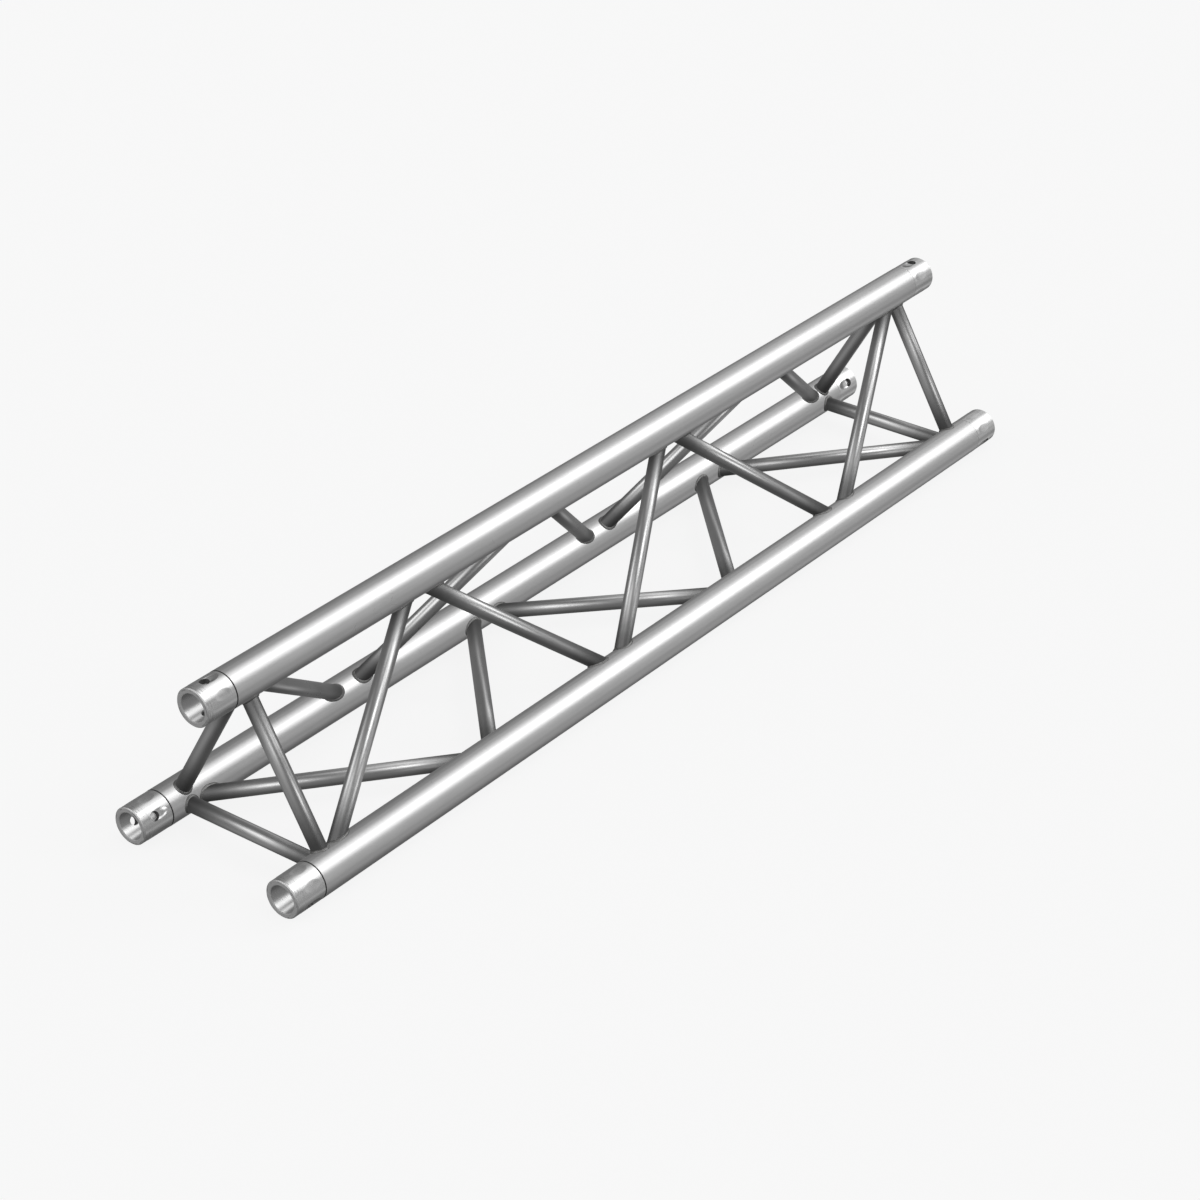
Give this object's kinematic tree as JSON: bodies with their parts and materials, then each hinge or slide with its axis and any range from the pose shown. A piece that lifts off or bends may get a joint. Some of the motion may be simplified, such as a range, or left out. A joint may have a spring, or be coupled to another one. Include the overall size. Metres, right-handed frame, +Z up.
{
  "type": "lighting truss section",
  "caption": "Triangular welded aluminium truss section with round chords, zigzag tube bracing and a conical coupler socket with a cross pin hole at each chord end.",
  "frame": {"origin": "on the ground under the middle of the section's bounding box", "axes": "+X along the chords, from the left end to the right end; +Z up towards the top chord; +Y from the front chord to the rear chord"},
  "size_m": [1.5, 0.2898, 0.2578],
  "materials": {
    "chord_aluminium": "satin extruded",
    "brace_aluminium": "satin extruded",
    "receiver_aluminium": "fine turned",
    "weld_metal": "rippled weld bead"
  },
  "bodies": {
    "root": {"top_chord": "chord_aluminium", "top_receiver_left": "receiver_aluminium", "top_receiver_weld_left": "weld_metal", "top_receiver_right": "receiver_aluminium", "top_receiver_weld_right": "weld_metal", "rear_chord": "chord_aluminium", "rear_receiver_left": "receiver_aluminium", "rear_receiver_weld_left": "weld_metal", "rear_receiver_right": "receiver_aluminium", "rear_receiver_weld_right": "weld_metal", "front_chord": "chord_aluminium", "front_receiver_left": "receiver_aluminium", "front_receiver_weld_left": "weld_metal", "front_receiver_right": "receiver_aluminium", "front_receiver_weld_right": "weld_metal", "front_end_brace_left": "brace_aluminium", "front_end_brace_left_welds": "weld_metal", "front_diagonal_1": "brace_aluminium", "front_diagonal_1_welds": "weld_metal", "front_diagonal_2": "brace_aluminium", "front_diagonal_2_welds": "weld_metal", "front_diagonal_3": "brace_aluminium", "front_diagonal_3_welds": "weld_metal", "front_diagonal_4": "brace_aluminium", "front_diagonal_4_welds": "weld_metal", "front_diagonal_5": "brace_aluminium", "front_diagonal_5_welds": "weld_metal", "front_end_brace_right": "brace_aluminium", "front_end_brace_right_welds": "weld_metal", "rear_end_brace_left": "brace_aluminium", "rear_end_brace_left_welds": "weld_metal", "rear_diagonal_1": "brace_aluminium", "rear_diagonal_1_welds": "weld_metal", "rear_diagonal_2": "brace_aluminium", "rear_diagonal_2_welds": "weld_metal", "rear_diagonal_3": "brace_aluminium", "rear_diagonal_3_welds": "weld_metal", "rear_diagonal_4": "brace_aluminium", "rear_diagonal_4_welds": "weld_metal", "rear_diagonal_5": "brace_aluminium", "rear_diagonal_5_welds": "weld_metal", "rear_end_brace_right": "brace_aluminium", "rear_end_brace_right_welds": "weld_metal", "bottom_end_brace_left": "brace_aluminium", "bottom_end_brace_left_welds": "weld_metal", "bottom_diagonal_1": "brace_aluminium", "bottom_diagonal_1_welds": "weld_metal", "bottom_diagonal_2": "brace_aluminium", "bottom_diagonal_2_welds": "weld_metal", "bottom_diagonal_3": "brace_aluminium", "bottom_diagonal_3_welds": "weld_metal", "bottom_diagonal_4": "brace_aluminium", "bottom_diagonal_4_welds": "weld_metal", "bottom_diagonal_5": "brace_aluminium", "bottom_diagonal_5_welds": "weld_metal", "bottom_end_brace_right": "brace_aluminium", "bottom_end_brace_right_welds": "weld_metal"}
  },
  "joints": []
}
